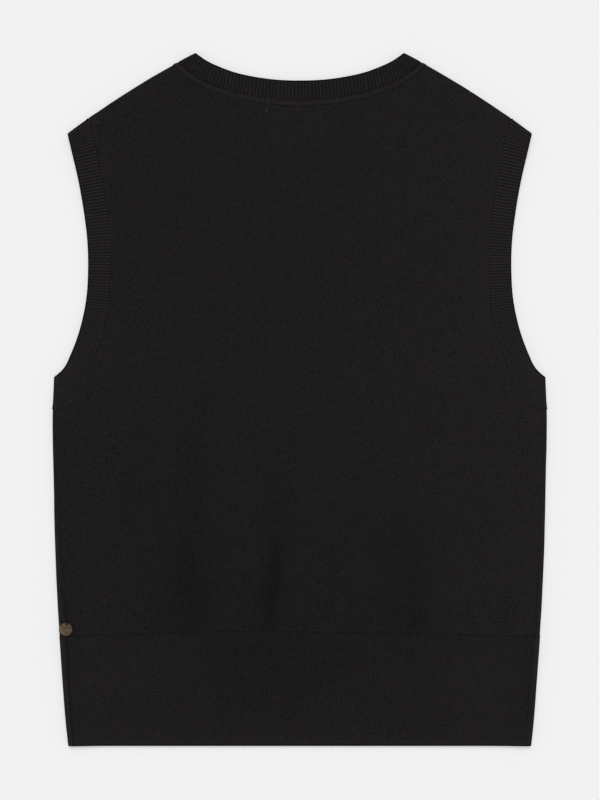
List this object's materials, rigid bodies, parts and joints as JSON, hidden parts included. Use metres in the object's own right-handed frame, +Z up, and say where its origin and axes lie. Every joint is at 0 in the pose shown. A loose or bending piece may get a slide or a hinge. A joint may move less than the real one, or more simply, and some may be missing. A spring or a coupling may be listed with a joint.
{
  "type": "knitted sweater vest",
  "caption": "Fine-knit crew-neck vest laid flat, back up, with ribbed neckband, armbands and deep hem and a small disc at one side seam.",
  "frame": {"origin": "under the middle of the laid vest, on the surface it lies on", "axes": "+X across the vest to its wearer's right, +Y from hem to neck, +Z up off the surface, with the vest's back up"},
  "size_m": [0.4402, 0.6164, 0.0077],
  "materials": {
    "jersey": "matte fine-gauge jersey",
    "rib": "matte 1x1 rib",
    "charm": "dark antique, softly hammered"
  },
  "bodies": {
    "vest": {"front_panel": "jersey", "back_panel": "jersey", "hem_rib_front": "rib", "hem_rib_back": "rib", "neckband": "rib", "armband_right": "rib", "armband_left": "rib"},
    "charm": {"charm": "charm"}
  },
  "joints": [
    {"name": "charm_flip", "type": "hinge", "parent": "vest", "child": "charm", "pos_m": [-0.20666, -0.19821, 0.00765], "axis": [-0.9816, 0.1908, 0], "range_deg": [0, 165]}
  ]
}
